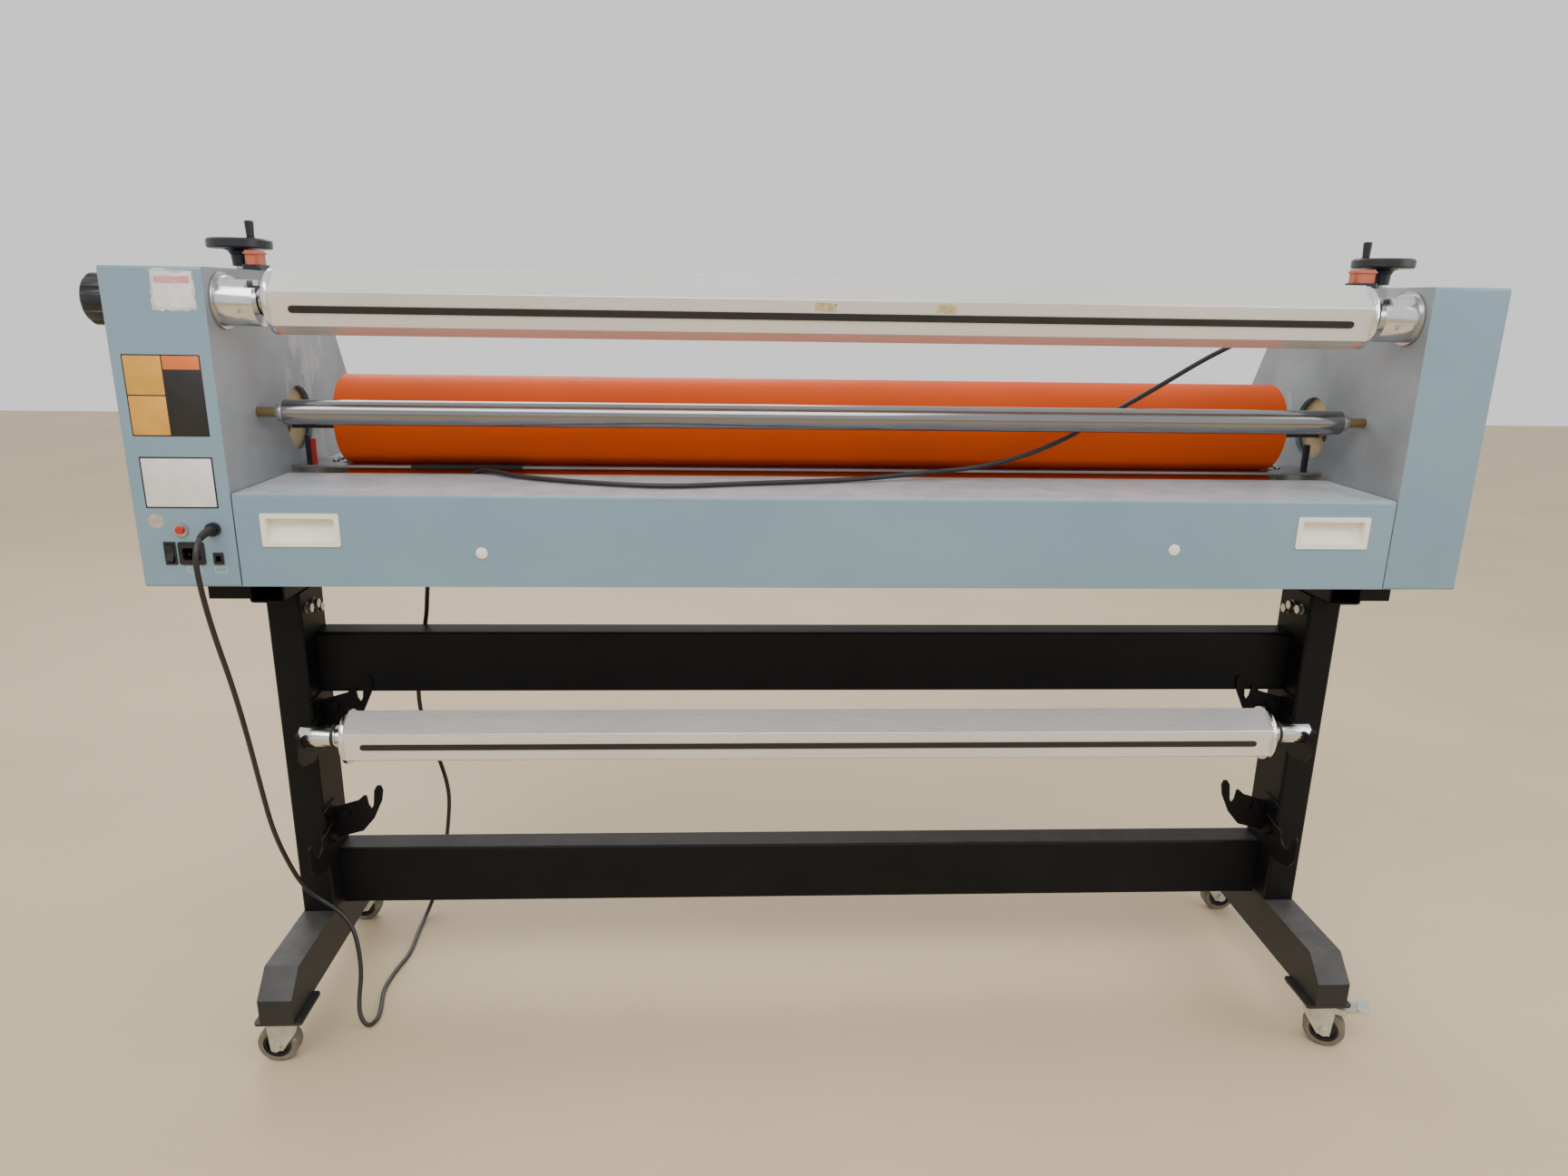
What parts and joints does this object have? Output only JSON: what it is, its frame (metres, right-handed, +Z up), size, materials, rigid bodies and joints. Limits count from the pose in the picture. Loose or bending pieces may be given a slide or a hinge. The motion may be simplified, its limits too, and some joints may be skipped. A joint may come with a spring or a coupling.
{
  "type": "cold roll laminator",
  "caption": "Castored floor-standing cold roll laminator: driven silicone nip rollers between side cabinets, hexagonal film shafts, hand-wheel nip lift, tilting feed table and foot switch.",
  "frame": {"origin": "on the floor under the middle of the machine's bounding box, cord and foot switch left out", "axes": "+X along the rollers to the operator's right, +Y to the back (the operator stands at -Y), +Z up"},
  "size_m": [1.818, 0.5461, 1.2228],
  "materials": {
    "blue_grey_paint": "powder coat, semi-matt",
    "black_paint": "powder coat, satin, dusty and scratched",
    "orange_silicone": "satin ground silicone",
    "roller_steel": "blackened steel",
    "block_bronze": "dull cast",
    "zinc": "zinc plated",
    "tyre_grey": "matte",
    "black_plastic": "fine grained",
    "white_plastic": "gloss",
    "indicator_red": "semi-gloss",
    "extrusion": "natural anodised, brushed",
    "chrome_bar": "hard chrome",
    "bright_steel": "turned",
    "stub_brass": "dull",
    "strip_rubber": "matte",
    "guard_steel": "brushed",
    "motor_grey": "satin",
    "red_plastic": "gloss",
    "cord_pvc": "satin"
  },
  "bodies": {
    "stand": {"bearing_housings": "bright_steel", "cabinet_left": "blue_grey_paint", "cabinet_right": "blue_grey_paint", "cabinet_saddles": "black_paint", "cabinet_screws": "zinc", "caster_plates": "black_paint", "cord": "cord_pvc", "cover_left": "blue_grey_paint", "cover_right": "blue_grey_paint", "drive_chain": "roller_steel", "foot_left": "black_paint", "foot_right": "black_paint", "frame_bolts": "zinc", "gearmotor": "motor_grey", "idler_stubs": "stub_brass", "indicators": "indicator_red", "leg_left": "black_paint", "leg_right": "black_paint", "lower_beam": "black_paint", "nip_bar": "guard_steel", "nip_posts": "black_plastic", "panel_fittings": "black_plastic", "pedal_base": "black_plastic", "rear_table": "blue_grey_paint", "roll_hooks": "black_paint", "shaft_chucks": "bright_steel", "upper_beam": "black_paint"},
    "nip_carriage": {"upper_bearings": "block_bronze"},
    "upper_roller": {"upper_roller_cover": "orange_silicone", "upper_roller_core": "roller_steel"},
    "lower_roller": {"lower_roller_cover": "orange_silicone", "lower_roller_core": "roller_steel"},
    "pinion": {"drive_pinion": "bright_steel"},
    "lift_wheel_left": {"handwheel_left": "black_plastic"},
    "lift_wheel_right": {"handwheel_right": "black_plastic"},
    "grip_left": {"crank_left": "black_plastic"},
    "grip_right": {"crank_right": "black_plastic"},
    "supply": {"supply_shaft": "extrusion", "supply_strip": "strip_rubber"},
    "storage": {"storage_shaft": "extrusion", "storage_strip": "strip_rubber"},
    "idler": {"idler_tube": "chrome_bar"},
    "unwind_brake": {"brake_knob": "black_plastic"},
    "table": {"feed_table": "blue_grey_paint", "table_fittings": "white_plastic"},
    "switch_paddle": {"rocker": "black_plastic"},
    "reset": {"reset_button": "red_plastic"},
    "treadle": {"pedal_treadle": "black_plastic"},
    "swivel_fl": {"fork_fl": "zinc"},
    "roll_fl": {"wheel_fl": "tyre_grey"},
    "swivel_fr": {"fork_fr": "zinc"},
    "roll_fr": {"wheel_fr": "tyre_grey"},
    "swivel_rl": {"fork_rl": "zinc"},
    "roll_rl": {"wheel_rl": "tyre_grey"},
    "swivel_rr": {"fork_rr": "zinc"},
    "roll_rr": {"wheel_rr": "tyre_grey"},
    "lever_fr": {"brake_fr": "zinc"}
  },
  "joints": [
    {"name": "nip_lift", "type": "slide", "parent": "stand", "child": "nip_carriage", "axis": [0, 0, 1], "range_m": [0, 0.025]},
    {"name": "handwheel_left_turn", "type": "hinge", "parent": "stand", "child": "lift_wheel_left", "pos_m": [-0.809, 0.01738, 1.155], "axis": [0, 0, 1], "range_deg": [0, 1800]},
    {"name": "handwheel_right_turn", "type": "hinge", "parent": "stand", "child": "lift_wheel_right", "pos_m": [0.866, 0.01738, 1.155], "axis": [0, 0, 1], "range_deg": [0, 1800]},
    {"name": "upper_roller_spin", "type": "hinge", "parent": "nip_carriage", "child": "upper_roller", "pos_m": [0.021, 0.01738, 0.9476], "axis": [1, 0, 0], "continuous": true},
    {"name": "lower_roller_spin", "type": "hinge", "parent": "stand", "child": "lower_roller", "pos_m": [0.021, 0.01738, 0.8166], "axis": [1, 0, 0], "continuous": true},
    {"name": "pinion_spin", "type": "hinge", "parent": "stand", "child": "pinion", "pos_m": [-0.822, 0.14238, 0.806], "axis": [1, 0, 0], "continuous": true},
    {"name": "grip_left_spin", "type": "hinge", "parent": "lift_wheel_left", "child": "grip_left", "pos_m": [-0.783, -0.00462, 1.2], "axis": [0, 0, 1], "continuous": true},
    {"name": "grip_right_spin", "type": "hinge", "parent": "lift_wheel_right", "child": "grip_right", "pos_m": [0.833, 0.00938, 1.2], "axis": [0, 0, 1], "continuous": true},
    {"name": "supply_spin", "type": "hinge", "parent": "stand", "child": "supply", "pos_m": [0.021, -0.17862, 1.115], "axis": [1, 0, 0], "continuous": true},
    {"name": "storage_spin", "type": "hinge", "parent": "stand", "child": "storage", "pos_m": [0.021, -0.09462, 0.484], "axis": [1, 0, 0], "continuous": true},
    {"name": "idler_spin", "type": "hinge", "parent": "stand", "child": "idler", "pos_m": [0.021, -0.11662, 0.97], "axis": [1, 0, 0], "continuous": true},
    {"name": "unwind_brake_turn", "type": "hinge", "parent": "stand", "child": "unwind_brake", "pos_m": [-0.879, -0.17862, 1.115], "axis": [1, 0, 0], "range_deg": [0, 300]},
    {"name": "feed_table_tilt", "type": "hinge", "parent": "stand", "child": "table", "pos_m": [0.021, -0.05862, 0.762], "axis": [1, 0, 0], "range_deg": [0, 80]},
    {"name": "rocker_tilt", "type": "hinge", "parent": "stand", "child": "switch_paddle", "pos_m": [-0.8355, -0.22162, 0.7976], "axis": [1, 0, 0], "range_deg": [0, 18]},
    {"name": "reset_press", "type": "slide", "parent": "stand", "child": "reset", "axis": [0, 1, 0], "range_m": [0, 0.003], "stiffness_N_per_m": 250, "springref_m": -0.002},
    {"name": "treadle_press", "type": "hinge", "parent": "stand", "child": "treadle", "pos_m": [0.649, 0.17638, 0.897], "axis": [0, -1, 0], "range_deg": [0, 6], "stiffness_Nm_per_rad": 8, "springref_deg": -4.58},
    {"name": "swivel_fl_turn", "type": "hinge", "parent": "stand", "child": "swivel_fl", "pos_m": [-0.776, -0.19762, 0.08], "axis": [0, 0, 1], "continuous": true},
    {"name": "wheel_fl_roll", "type": "hinge", "parent": "swivel_fl", "child": "roll_fl", "pos_m": [-0.793, -0.19762, 0.03], "axis": [0, -1, 0], "continuous": true},
    {"name": "swivel_fr_turn", "type": "hinge", "parent": "stand", "child": "swivel_fr", "pos_m": [0.818, -0.19762, 0.08], "axis": [0, 0, 1], "continuous": true},
    {"name": "wheel_fr_roll", "type": "hinge", "parent": "swivel_fr", "child": "roll_fr", "pos_m": [0.83272, -0.20612, 0.03], "axis": [0.5, 0.866, 0], "continuous": true},
    {"name": "brake_fr_press", "type": "hinge", "parent": "swivel_fr", "child": "lever_fr", "pos_m": [0.85004, -0.21612, 0.07], "axis": [0.5, 0.866, 0], "range_deg": [0, 15]},
    {"name": "swivel_rl_turn", "type": "hinge", "parent": "stand", "child": "swivel_rl", "pos_m": [-0.776, 0.17438, 0.08], "axis": [0, 0, 1], "continuous": true},
    {"name": "wheel_rl_roll", "type": "hinge", "parent": "swivel_rl", "child": "roll_rl", "pos_m": [-0.793, 0.17438, 0.03], "axis": [0, -1, 0], "continuous": true},
    {"name": "swivel_rr_turn", "type": "hinge", "parent": "stand", "child": "swivel_rr", "pos_m": [0.818, 0.17438, 0.08], "axis": [0, 0, 1], "continuous": true},
    {"name": "wheel_rr_roll", "type": "hinge", "parent": "swivel_rr", "child": "roll_rr", "pos_m": [0.835, 0.17438, 0.03], "axis": [0, 1, 0], "continuous": true}
  ],
  "couplings": [
    {"joint": "handwheel_left_turn", "follows": "nip_lift", "rad_per_m": 1256.6},
    {"joint": "handwheel_right_turn", "follows": "nip_lift", "rad_per_m": 1256.6},
    {"joint": "upper_roller_spin", "follows": "lower_roller_spin", "ratio": -1},
    {"joint": "pinion_spin", "follows": "lower_roller_spin", "ratio": 1.6364}
  ]
}
